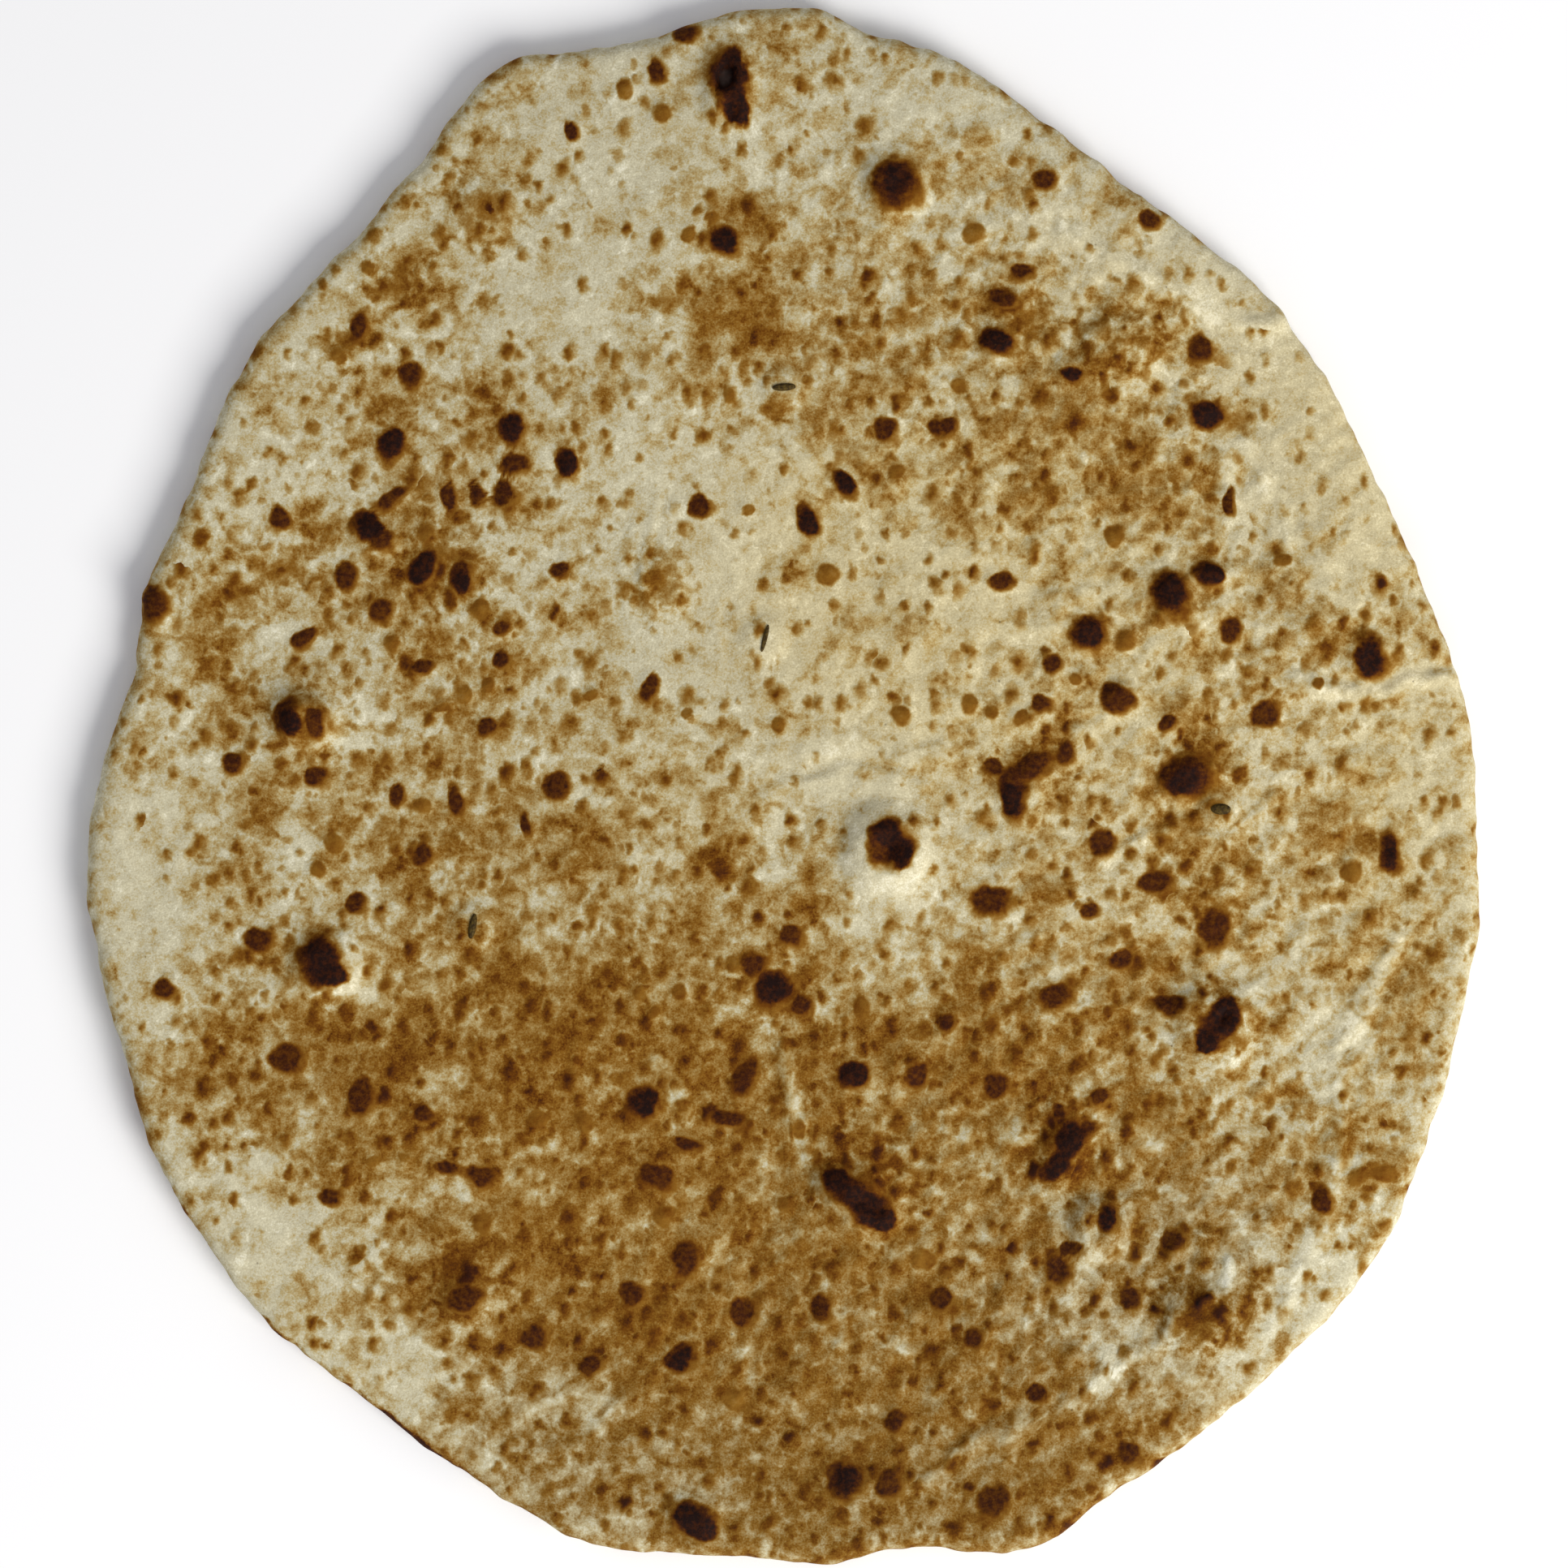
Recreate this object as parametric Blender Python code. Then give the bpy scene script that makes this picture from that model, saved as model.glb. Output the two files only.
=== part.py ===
"""Naan bread: an oval flatbread lying on its baked underside, with four small
seeds on its crust.

Units are metres and +Z is up.  The origin is at the bottom centre of the bread's
bounding box.  +Y runs along the bread, towards its narrower end, and +X runs
across it.

The bread is one solid.  It starts as a UV sphere whose rings become rings of the
bread: the upper ones its top, the ones near the equator its rounded edge, and the
lower ones its underside, which is flat except where the edge lifts off the table.
"""

import math

import bmesh
import bpy
import numpy as np
from mathutils import Euler, Vector
from mathutils.bvhtree import BVHTree

MM = 0.001

# Driving dimensions, in millimetres.
LENGTH = 280.0
WIDTH = 250.0
BODY_THICKNESS = 5.6
EDGE_ROUNDING = 4.0
EDGE_THICKNESS = 4.6
LIFT_WIDTH = 26.0
LIFT_MEAN = 1.5
LIFT_SWING = 1.0
SEED_GAP = 0.3

# Resolution of the bread's mesh.
SPOKES = 112
TOP_RINGS = 20
EDGE_RINGS = 5
STEPS_PER_SPAN = 8

# The hand-stretched outline, clockwise from the narrow end, in millimetres.
OUTLINE = [
    (0, 140), (8, 138.5), (14.5, 135), (31, 130), (45, 120.5), (58, 110.5),
    (72, 100), (86, 88.5), (96, 75.5), (104, 60), (113, 41), (120.5, 22),
    (124.5, 4), (125.5, -20), (125, -30), (122.5, -39), (119.5, -54),
    (113, -73), (105.5, -88), (92, -102), (78, -115), (60, -127.5), (55, -130),
    (50.5, -135.5), (45, -138), (34, -138.5), (22, -137.5), (8, -140.5),
    (-12, -139), (-33, -138), (-46, -131.5), (-62.5, -121),
    (-82, -106), (-96.5, -93.5), (-108, -77), (-116, -60.5), (-120.5, -44),
    (-125, -27), (-125.5, -8), (-123.5, 2), (-119, 16), (-116, 23),
    (-116, 34), (-108.5, 49), (-101.5, 68), (-92, 82.5), (-76, 99.5),
    (-65, 113), (-56, 125), (-49, 130.5), (-40, 131.5), (-24, 134),
    (-11, 138.5),
]

# Broad hills of the dough: x, y, radius and height, in millimetres.
HILLS = [
    (70, 10, 55, 1.2),
    (60, -85, 45, 1.0),
    (-55, -70, 50, 0.6),
    (-30, 95, 45, 0.7),
    (45, 88, 30, 0.8),
]

# The main blisters: x, y, radius and height, in millimetres.
BLISTERS = [
    (18.5, -11.5, 9, 2.2),
    (-86, 11.5, 6, 2.6),
    (60, 78, 8, 1.8),
    (75, -95, 9, 2.0),
    (56, -79, 6, 2.4),
    (12, -74, 7, 2.4),
    (-10, 125, 6, 1.6),
    (20, 107, 6, 2.0),
    (-82, -32, 6, 2.0),
    (77, -44, 7, 2.4),
    (-57, -92, 7, 1.6),
    (49, -64, 6, 1.6),
    (71, 32, 6, 1.6),
    (-22, 36, 7, 0.8),
]

# Long waves of the dough: length along x and y, phase and height, in millimetres.
WAVES = [
    (150, 400, 0.6, 0.35),
    (-260, 130, 2.1, 0.35),
    (95, 120, 4.0, 0.22),
    (-80, 100, 1.2, 0.18),
]

# Seeds: name, x, y, length, width and height in millimetres, and turn in degrees.
SEEDS = [
    ("seed_upper", 0.0, 70.8, 4.2, 1.4, 1.1, 3.0),
    ("seed_centre", -3.4, 26.0, 5.0, 0.9, 0.9, 76.0),
    ("seed_left", -55.6, -25.4, 4.5, 1.4, 1.1, 80.0),
    ("seed_right", 77.9, -4.5, 3.5, 2.0, 1.1, -2.0),
]
SEED_SIDES = 18
SEED_RINGS = 14
SEED_RIBS = 6
RIB_DEPTH = 0.10

CRUST_COLOR = (0.49, 0.40, 0.24, 1.0)
SEED_COLOR = (0.070, 0.045, 0.010, 1.0)
CRUST_ROUGHNESS = 0.88
SEED_ROUGHNESS = 0.70


def clear_scene():
    """Remove every object that the start-up file holds."""
    for obj in list(bpy.data.objects):
        bpy.data.objects.remove(obj, do_unlink=True)


def make_collection(name):
    """Make the collection that holds the model."""
    collection = bpy.data.collections.new(name)
    bpy.context.scene.collection.children.link(collection)
    return collection


def make_material(name, color, roughness):
    """Make a plain Principled material."""
    material = bpy.data.materials.new(name)
    material.use_nodes = True
    shader = material.node_tree.nodes["Principled BSDF"]
    shader.inputs["Base Color"].default_value = color
    shader.inputs["Roughness"].default_value = roughness
    shader.inputs["Metallic"].default_value = 0.0
    material.diffuse_color = color
    return material


def smooth_outline():
    """Return the angles and radii of a smooth closed curve through OUTLINE."""
    points = np.array(OUTLINE, dtype=float)
    before = np.roll(points, 1, axis=0)
    after = np.roll(points, -1, axis=0)
    after_next = np.roll(points, -2, axis=0)
    samples = []
    for step in range(STEPS_PER_SPAN):
        t = step / STEPS_PER_SPAN
        samples.append(0.5 * (
            2.0 * points
            + (after - before) * t
            + (2.0 * before - 5.0 * points + 4.0 * after - after_next) * t ** 2
            + (3.0 * points - before - 3.0 * after + after_next) * t ** 3
        ))
    curve = np.concatenate(samples)
    angles = np.arctan2(curve[:, 1], curve[:, 0])
    radii = np.hypot(curve[:, 0], curve[:, 1])
    order = np.argsort(angles)
    return angles[order], radii[order]


def smooth_step(t):
    """Rise smoothly from 0 to 1 as t goes from 0 to 1."""
    t = min(max(t, 0.0), 1.0)
    return t * t * (3.0 - 2.0 * t)


def edge_lift(angle):
    """Return how far the underside's edge stands off the table at an angle."""
    swing = 0.6 * math.sin(2.0 * angle + 0.7) + 0.4 * math.sin(5.0 * angle + 2.0)
    return LIFT_MEAN + LIFT_SWING * swing


def dough_thickness(x, y):
    """Return the thickness at a place, with its hills, waves and blisters."""
    thickness = BODY_THICKNESS
    for length_x, length_y, phase, height in WAVES:
        thickness += height * math.sin(math.tau * (x / length_x + y / length_y) + phase)
    for center_x, center_y, radius, height in HILLS + BLISTERS:
        distance = math.hypot(x - center_x, y - center_y) / radius
        thickness += height * math.exp(-distance * distance)
    return thickness


def top_and_bottom(x, y, angle, inset):
    """Return the heights of the top and the underside, inset mm in from the edge."""
    bend = smooth_step(1.0 - inset / LIFT_WIDTH)
    bottom = edge_lift(angle) * bend * bend
    thinning = smooth_step(1.0 - inset / (0.6 * LIFT_WIDTH))
    thickness = dough_thickness(x, y)
    thickness += (EDGE_THICKNESS - thickness) * 0.7 * thinning
    return bottom + thickness, bottom


def bread_point(direction, outline):
    """Carry a point of the unit sphere to its place on the bread, in millimetres."""
    angle = math.atan2(direction.y, direction.x)
    steps = TOP_RINGS + EDGE_RINGS
    latitude = math.asin(min(max(direction.z, -1.0), 1.0))
    ring = steps * (1.0 - abs(latitude) / (0.5 * math.pi))
    reach = float(np.interp(angle, outline[0], outline[1], period=math.tau))
    core = reach - EDGE_ROUNDING
    if ring <= TOP_RINGS:
        radius = core * ring / TOP_RINGS
        x = radius * math.cos(angle)
        y = radius * math.sin(angle)
        top, bottom = top_and_bottom(x, y, angle, reach - radius)
        return Vector((x, y, top if direction.z > 0.0 else bottom))
    turn = 0.5 * math.pi * (ring - TOP_RINGS) / EDGE_RINGS
    radius = core + EDGE_ROUNDING * math.sin(turn)
    top, bottom = top_and_bottom(
        core * math.cos(angle), core * math.sin(angle), angle, EDGE_ROUNDING)
    middle = 0.5 * (top + bottom)
    side = 1.0 if direction.z > 0.0 else -1.0
    height = middle + side * 0.5 * (top - bottom) * math.cos(turn)
    return Vector((radius * math.cos(angle), radius * math.sin(angle), height))


def fit_to_size(mesh):
    """Centre the bread on its box and bring it to exactly LENGTH by WIDTH."""
    xs = [vert.co.x for vert in mesh.verts]
    ys = [vert.co.y for vert in mesh.verts]
    scale_x = WIDTH / (max(xs) - min(xs))
    scale_y = LENGTH / (max(ys) - min(ys))
    middle_x = 0.5 * (max(xs) + min(xs))
    middle_y = 0.5 * (max(ys) + min(ys))
    for vert in mesh.verts:
        vert.co.x = (vert.co.x - middle_x) * scale_x
        vert.co.y = (vert.co.y - middle_y) * scale_y


def bread_mesh():
    """Shape a UV sphere into the bread, in millimetres."""
    outline = smooth_outline()
    mesh = bmesh.new()
    bmesh.ops.create_uvsphere(
        mesh, u_segments=SPOKES, v_segments=2 * (TOP_RINGS + EDGE_RINGS), radius=1.0)
    for vert in mesh.verts:
        vert.co = bread_point(vert.co.normalized(), outline)
    fit_to_size(mesh)
    flat = [face for face in mesh.faces if all(vert.co.z < 1e-4 for vert in face.verts)]
    for face in flat:
        for vert in face.verts:
            vert.co.z = 0.0
    bmesh.ops.dissolve_faces(mesh, faces=flat, use_verts=True)
    return mesh


def seed_mesh(length, width, height):
    """Shape a small UV sphere into a ribbed spindle along X, in millimetres."""
    mesh = bmesh.new()
    bmesh.ops.create_uvsphere(
        mesh, u_segments=SEED_SIDES, v_segments=SEED_RINGS, radius=1.0)
    for vert in mesh.verts:
        along = vert.co.z
        around = math.atan2(vert.co.y, vert.co.x)
        blunt = math.hypot(vert.co.x, vert.co.y) ** 0.85
        rib = 1.0 - RIB_DEPTH * (0.5 - 0.5 * math.cos(SEED_RIBS * around))
        vert.co = Vector((
            0.5 * length * along,
            0.5 * width * blunt * rib * math.cos(around),
            0.5 * height * blunt * rib * math.sin(around),
        ))
    return mesh


def crust_height(tree, x, y, length, turn):
    """Return the highest crust under a seed, in millimetres."""
    heights = []
    for step in range(-3, 4):
        reach = 0.5 * length * step / 3.0
        start = Vector((x + reach * math.cos(turn), y + reach * math.sin(turn), 50.0))
        heights.append(tree.ray_cast(start, Vector((0.0, 0.0, -1.0)))[0].z)
    return max(heights)


def add_object(name, mesh, material, collection):
    """Turn a bmesh in millimetres into an object in metres."""
    for vert in mesh.verts:
        vert.co *= MM
    data = bpy.data.meshes.new(name)
    mesh.to_mesh(data)
    mesh.free()
    data.materials.append(material)
    data.shade_smooth()
    obj = bpy.data.objects.new(name, data)
    collection.objects.link(obj)
    return obj


def add_seeds(tree, collection):
    """Lay each seed on the crust, just clear of it."""
    material = make_material("seed", SEED_COLOR, SEED_ROUGHNESS)
    for name, x, y, length, width, height, degrees in SEEDS:
        turn = math.radians(degrees)
        obj = add_object(name, seed_mesh(length, width, height), material, collection)
        level = crust_height(tree, x, y, length, turn) + SEED_GAP + 0.5 * height
        obj.location = Vector((x, y, level)) * MM
        obj.rotation_euler = Euler((0.0, 0.0, turn))


def build():
    """Build the whole model."""
    clear_scene()
    collection = make_collection("naan_bread")
    bread = bread_mesh()
    tree = BVHTree.FromBMesh(bread)
    crust = make_material("crust", CRUST_COLOR, CRUST_ROUGHNESS)
    add_object("naan", bread, crust, collection)
    add_seeds(tree, collection)


build()
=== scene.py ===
"""The finished look of the naan bread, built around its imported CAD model.

Everything is in the CAD model's frame.  Lists of places and sizes are in
millimetres: +X to the right and +Y up as the bread is seen from above.

The crust is one closed mesh.  Its outline and the broad shape of its dough are read
from the CAD node; blisters, burst bubbles, ridges and creases are added to them as
real relief.  How far each place is toasted or charred is kept in the mesh as
attributes, which the material breaks up into spots, mottling and grain.
"""

import math
from types import SimpleNamespace

import bpy
import numpy as np
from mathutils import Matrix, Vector
from mathutils.bvhtree import BVHTree


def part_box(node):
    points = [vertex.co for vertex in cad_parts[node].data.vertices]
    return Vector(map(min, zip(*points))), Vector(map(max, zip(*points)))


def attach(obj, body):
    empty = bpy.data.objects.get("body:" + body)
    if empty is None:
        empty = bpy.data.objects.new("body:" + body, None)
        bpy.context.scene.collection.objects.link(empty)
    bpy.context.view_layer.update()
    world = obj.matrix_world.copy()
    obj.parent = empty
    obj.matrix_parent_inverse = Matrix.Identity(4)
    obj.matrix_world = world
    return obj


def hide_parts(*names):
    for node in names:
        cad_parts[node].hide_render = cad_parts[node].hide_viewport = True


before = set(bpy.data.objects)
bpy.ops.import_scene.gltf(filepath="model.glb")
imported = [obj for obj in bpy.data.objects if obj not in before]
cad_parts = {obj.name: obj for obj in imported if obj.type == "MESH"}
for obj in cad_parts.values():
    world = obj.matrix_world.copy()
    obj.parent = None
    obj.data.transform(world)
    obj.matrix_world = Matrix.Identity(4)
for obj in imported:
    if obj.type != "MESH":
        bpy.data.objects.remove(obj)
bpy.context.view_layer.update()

MM = 0.001
SEED_NODES = ("seed_upper", "seed_centre", "seed_left", "seed_right")

# The floor's half width and its gap, in metres, and the picture's height in breads.
FLOOR_HALF = 3.0
FLOOR_GAP = 0.0002
PICTURE_MARGIN = 1.0031

# The crust's mesh: rings of its top, of its edge and of its underside.
TOP_RINGS = 128
EDGE_RINGS = 10
UNDER_RINGS = TOP_RINGS // 2
EDGE_WIDTH = 3.4
MAP_SHARE = 0.72
MAP_GAP = 0.006

# Reading the CAD node.
CORE_INSET = 5.5
HEIGHT_STEP = 2.0
HEIGHT_REACH = 150.0
HEIGHT_BLUR = 2.6
OUTLINE_STEPS = 720

# Blisters: x, y, width, length, turn in degrees, rise, and sink of the middle.
BLISTERS = [
    (-10, 125, 13, 19, -8, 0.9, 0), (77, -43, 20, 22, -30, 1.2, 0.9), (13, -74, 22, 14, -30, 1, 0.4),
    (-16, -130, 13, 9, 0, 0.8, 0), (50, -66, 12, 16, -25, 0.8, 0.3), (-82, -32, 15, 14, 0, 1.1, 0.2),
    (18.5, -11.5, 19, 20, 20, 1.5, 2), (-85, 11.5, 15, 12, -15, 1.5, 0), (20, 107, 14, 15, 0, 1.1, 0.8),
    (42, -1, 12, 16, 10, 0.7, 0.5), (70, 33, 10, 13, 20, 0.9, 0), (76, 37, 8, 7, 0, 0.6, 0),
    (-53.5, 102, 15, 15, 0, 0.5, 0), (-22, 36, 13, 16, 10, 0.6, 0.2), (60, 78, 18, 14, 0, 0.9, 0),
    (75, -95, 21, 15, 10, 0.9, 0), (56, -79, 14, 14, 0, 1.6, 1), (104.5, 22.5, 11, 12, 0, 0.7, 0.5),
    (-57, -92, 14, 12, 0, 0.6, 0), (54.5, 26.5, 9, 10, 0, 0.6, 0), (60, 15, 9, 9, 0, 0.7, 0),
    (38, 79, 8, 7, 0, 0.6, 0), (-73, 44, 10, 9, 0, 0.5, 0), (72, 1, 13, 10, 20, 0.7, 0.2),
    (-112, 31, 7, 10, 0, 0.7, 0),
]

# Torn holes in burst blisters: x, y, width, length, turn and depth.
HOLES = [
    (-10.5, 126, 4, 5.5, -15, 2.4), (-9.5, 120, 3.6, 4.5, 0, 0.9), (78.5, -41.5, 2.4, 3.8, -30, 1),
    (15.5, -75, 7.5, 3.6, -30, 1),
]

# Grey in the deepest hole: x, y, width, length and turn.
HOLE_GREY_PLACES = [(-10.5, 126, 3.2, 4.4, -15)]

# Char, nearly black: x, y, width, length and, where it is turned, the turn.
CHAR = [
    (-9.5, 127, 5.6, 8, -10), (-8.5, 120.5, 4.6, 7.5, 10), (78.5, -41, 5.5, 6.5, -20),
    (75, -46, 4.6, 5.2, 30), (9.5, -71, 6.5, 4, -30), (14, -74.5, 8.5, 5.6, -35), (17.5, -78, 4.6, 4.2),
    (-17, -131, 6.5, 3.8, -20), (-14.5, -133, 4.5, 3.4), (51, -63.5, 5, 6.5, -25),
    (48.5, -68.5, 3.4, 5.5, -20), (-82.5, -31, 5.8, 7.2, 15), (-80.5, -34, 5, 4.2),
    (18.5, -9, 5.2, 3.8, -25), (20.5, -12.5, 4.2, 5.5), (-88, 11, 3.6, 5.4), (20, 107.5, 4.6, 5, -20),
    (40.5, -3, 3.6, 6, 10), (69, 34, 4.8, 5.8, 25), (76.5, 37.5, 4.6, 3.2, -20),
    (-73.5, 46, 5, 4.2, -30), (-64.5, 38.5, 3.8, 5.4, -20), (-57.5, 36, 2.8, 4.6, -15),
    (-48.5, 64, 3.4, 4.6), (-70, 61, 3.6, 4.6, -30), (-38.5, 57.5, 3, 4.6), (-10.5, 97, 5, 3.6, -15),
    (38, 79, 5, 3.8), (51.5, 73, 4.6, 2.4), (75.5, 66, 5.6, 3.4, 10), (11, 54, 5, 3.6, -35),
    (4.5, 47, 3.2, 4.6), (54.5, 26.5, 4.2, 5.2, 15), (104.5, 22.5, 4.6, 5.4, 10),
    (71.5, 0.5, 5.8, 4.6, 20), (-2, -36.5, 5, 4.2), (12.5, -51.5, 4.6, 3.4), (-24.5, -57, 4.6, 4.8),
    (57.5, -77.5, 2.6, 4.6), (11, -124, 3.6, 4.8), (-18.5, -103, 4.4, 3, 20),
    (108.5, -12.5, 2.2, 5.4, -5),
]

# Brown spots, in the same way.
SPOTS = [
    (-10.5, 97, 6.4, 5.2), (38, 79, 6.4, 5.2), (51.5, 73, 5.8, 3, -5), (74.5, 77.5, 4.8, 4.6),
    (75.5, 65.8, 7, 4.4, 5), (18.5, 63, 4.6, 5), (10.9, 53.3, 6.4, 4.2, -48), (4.4, 47.3, 4.4, 6, 10),
    (7.5, 37.5, 3.4, 3.4), (34, 98.5, 3.2, 3.2), (31.5, 71.5, 3.2, 3.2), (20.5, 55.5, 3, 3),
    (29.5, 63.5, 3, 3.6), (54.5, 26.7, 6.4, 7, 10), (48, 21.5, 4, 4), (61, 25.5, 3, 3),
    (59.6, 15.2, 6.4, 4.8, -10), (46, 14, 3.8, 3.8), (80, 27, 4, 4.8), (104.7, 22.4, 6.4, 7.6, 15),
    (86, 12, 5.4, 5.4), (38.5, 36, 5, 3.4), (-48.5, 63.5, 4.8, 6.2), (-48, 57, 6, 3.8),
    (-49.5, 51.5, 4.8, 5), (-38.7, 57.4, 3.8, 5.8, 15), (-70.2, 60.5, 4.6, 6.4, -25),
    (-66.5, 73, 5.2, 4.6), (-74.5, 46, 5.6, 4.6, -30), (-71.5, 43.2, 4.6, 4.2), (-64, 45, 3.4, 3.4),
    (-64.5, 38.6, 4.6, 6.8, -25), (-57.6, 37, 3.8, 6, -20), (-72, 31, 4.6, 4.6), (-78, 37, 3.6, 5.6),
    (-90, 47.5, 3.2, 4.6), (-40, 38, 4.6, 3.2, 30), (-15, 49.5, 3.8, 4.6), (-112.5, 32, 4.7, 7.3),
    (-22.5, 127, 4, 5), (-17.5, 134, 4.8, 3.8), (-28.5, 124, 3, 3), (-22, 120, 3.2, 3.2),
    (-37.5, 116.5, 3, 4), (42.5, 91, 4.4, 3.4), (39.5, 86.5, 5, 3.6), (47, 108, 4.6, 3.6),
    (65.5, 100.5, 4, 3.4), (-58.5, -3, 3.6, 5.4), (-40.5, -1, 4.4, 5.4), (-53, 10, 4, 3.6),
    (-69, -2, 3.2, 4.2), (-65, -4, 2.8, 2.8), (-83, 1, 4, 4), (-98.5, 3.5, 3.6, 3.6),
    (-64.5, -12.5, 3.8, 4.2), (-76, -21.5, 4, 4), (-93.3, -27.8, 6, 3.8, 15), (-80.5, -10.5, 3.2, 3.2),
    (-83.5, -15.5, 3.4, 3.2), (-110, -36.5, 4.2, 4.2), (72, 1, 10, 8), (57, -10.5, 4.2, 5.6),
    (66.5, -17.5, 5.6, 4), (37, -21, 8.6, 6), (54.5, -22.5, 3.8, 3.8), (77, -26, 6.4, 7),
    (60, -31.5, 4.8, 3.8), (48.5, -38, 6.4, 4.6), (69, -39.5, 6.8, 4), (108.5, -12.5, 4, 8.4),
    (101.5, -15.5, 3.2, 3.2), (-1.5, -36.5, 7.6, 6.8), (-5, -32.5, 5, 5), (3, -39.5, 4.2, 3.6),
    (1.5, -27.5, 4.6, 3.8), (-18.5, -37, 3.2, 3.2), (14, -40, 3.2, 3.2), (29, -42.5, 3.8, 3.8),
    (21, 12.5, 3.2, 3), (33, 14, 3, 3), (-88.5, -49, 6.4, 5.4, -30), (-75.4, -56.2, 4.6, 7, -5),
    (-64.5, -59, 4, 3.4), (-44, -60, 3.4, 3.4), (-36, -60.5, 3, 3), (-24.9, -57, 6.4, 6.8),
    (-10, -60, 7, 3.2), (-6.7, -52.8, 4.2, 7.4, -20), (-22.5, -70.3, 7.4, 4.6, -30),
    (-21.5, -77, 3.4, 3.4), (-59.8, -68.4, 6.4, 3, -15), (-54, -70.3, 5, 4.2, -20),
    (12.5, -52, 6.2, 4.8), (24, -52, 4.6, 5), (38, -54, 5.4, 4.8), (56.5, -56, 3.8, 3.8),
    (57.5, -77.5, 3.8, 6), (51.5, -83, 4, 3.4), (49, -87, 5, 6), (70, -81.5, 4.6, 4.4),
    (62, -92, 3.8, 3.8), (28, -92, 4.8, 4.4), (25, -85, 3.4, 3.4), (34, -99, 4.2, 4.2),
    (45.5, -109, 4.6, 3.8), (20, -114, 4.2, 3.8), (11, -124.5, 7, 7.6), (19, -125.5, 4.8, 5.4),
    (37.5, -128, 6.8, 5.8), (-56.8, -92, 6.4, 4.4), (-44.5, -99, 5, 4.6), (-34.5, -104, 4.2, 4.2),
    (-27, -91, 4.8, 4.8), (-18.5, -103, 7, 5), (-17.5, -85, 5, 6.4), (7, -94, 3.8, 5.2),
    (-7, -94.5, 5, 5), (-9, -110, 3.4, 3.4), (96, -74.5, 3.4, 5.4), (102, -70.5, 3.4, 3.4),
    (107, -69.5, 3.4, 3.4), (68, -122, 4.5, 3), (62, -119.5, 4.6, 4.6), (-54.7, 51.8, 2.8, 4.8),
    (-59.8, 51, 3, 6.4, 10), (-70.2, 25.4, 2.6, 2.8), (-54.7, 31, 2.8, 2.8), (-50.3, 27.8, 4, 2.8),
    (-50.3, 22, 3.6, 3.6), (-64.5, 20.6, 5, 2.4, 15), (-69.9, 51, 7, 2.8, 35), (-86, 26, 5, 2.6, 35),
    (-6.7, 49.2, 2.6, 2.6), (-24, 17, 3.2, 5), (-17, 12.3, 2.2, 2.2), (-1, 11, 2.4, 2.2),
    (-34.3, 16.2, 2.2, 2.2), (-13, 101.5, 2.6, 2), (-17, 98.3, 2.4, 2.4), (-75.7, 81.6, 3, 6, -15),
    (-79.4, 76.5, 3, 3), (-10, 69.6, 1.8, 3, 15), (-74.3, 91.8, 3, 2.6), (-57, 16, 2.4, 2.4),
    (-61, 14, 3.4, 1.8, 20), (-53, 17.5, 2, 2.6), (8, 38, 3.4, 2.6), (59, 44.2, 3, 3),
    (80, 50.3, 2, 5.6), (88.7, 40, 3.4, 2.2, -20), (51.9, 18.9, 2.4, 2.4), (95.2, 18.1, 2.2, 2.2),
    (37, 12.5, 2.4, 2.4), (42, 12.3, 2.6, 2.6), (69, 10.6, 3.6, 2.6, 10), (27.6, 63.4, 2.8, 3.8, 25),
    (-68.5, -2, 2.6, 3.2), (-46, -7.5, 2.4, 4.2, 15), (-23.4, -40.8, 2.4, 2.4), (-26, -36.9, 2.4, 2.4),
    (-53.9, -78.3, 3.4, 3.4), (-80.8, -73.9, 4.4, 3, 10), (-67.7, -67.1, 2, 2), (-73.3, -67.4, 2, 2),
    (-16.9, -64.5, 6, 3, -20), (2.8, -61.6, 2.4, 3.2), (-0.1, -75.4, 2.6, 3), (-8.9, -32.5, 2.8, 2.8),
    (-3.8, -31.8, 3, 2.8), (-9.6, 124.5, 6.4, 13, 8), (77.3, -43, 6, 9.8, -35),
    (13, -73.8, 13.5, 7.4, -35), (-16, -131.5, 9, 6, -20), (51, -63.5, 4.4, 8, -20),
    (47.5, -69, 3.4, 6, -35), (54, -62, 6, 3, 20), (49, -58.5, 2.8, 4, 30), (-82.5, -32, 8.2, 9.2, 30),
    (19, -11, 8, 8.6), (-88.5, 12, 5, 8, -20), (-83.5, 10.5, 3.6, 5.4), (20, 107, 8.7, 8.7),
    (41, -1.5, 5, 11, 5), (44.5, 3, 8, 4, 20), (37.5, 2.5, 5, 3, -20), (50.5, 5, 4, 4),
    (69, 33.6, 6.8, 9, 25), (75.6, 37.5, 5.6, 4.6, -35),
]

# Soft toasted patches: x, y, width and length.
PATCHES = [
    (-53.5, 102, 15, 15), (-68.5, 90, 12, 10), (-78.5, 78, 10, 8), (-22, 36, 11, 14), (60, 79, 17, 12),
    (75, -95, 18, 12), (80, 65, 12, 8), (-58, -88, 12, 14), (42, 83, 14, 12), (-61, 40, 18, 14),
    (-90, 38, 12, 10), (-98, 33, 8, 10), (-85, 11, 15, 12), (50, -65, 15, 17), (80, -43, 11, 13),
    (16, -68, 16, 12), (-57, -89, 14, 14), (-20, 87, 8, 8), (-70, 88, 8, 8), (-53, 87, 5, 5),
    (-55, 71, 6, 4), (-1.6, 67, 7, 4), (45, 3, 16, 10), (75, 3, 14, 10), (78, -22, 12, 10),
    (-2, -37, 12, 10),
]

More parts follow.
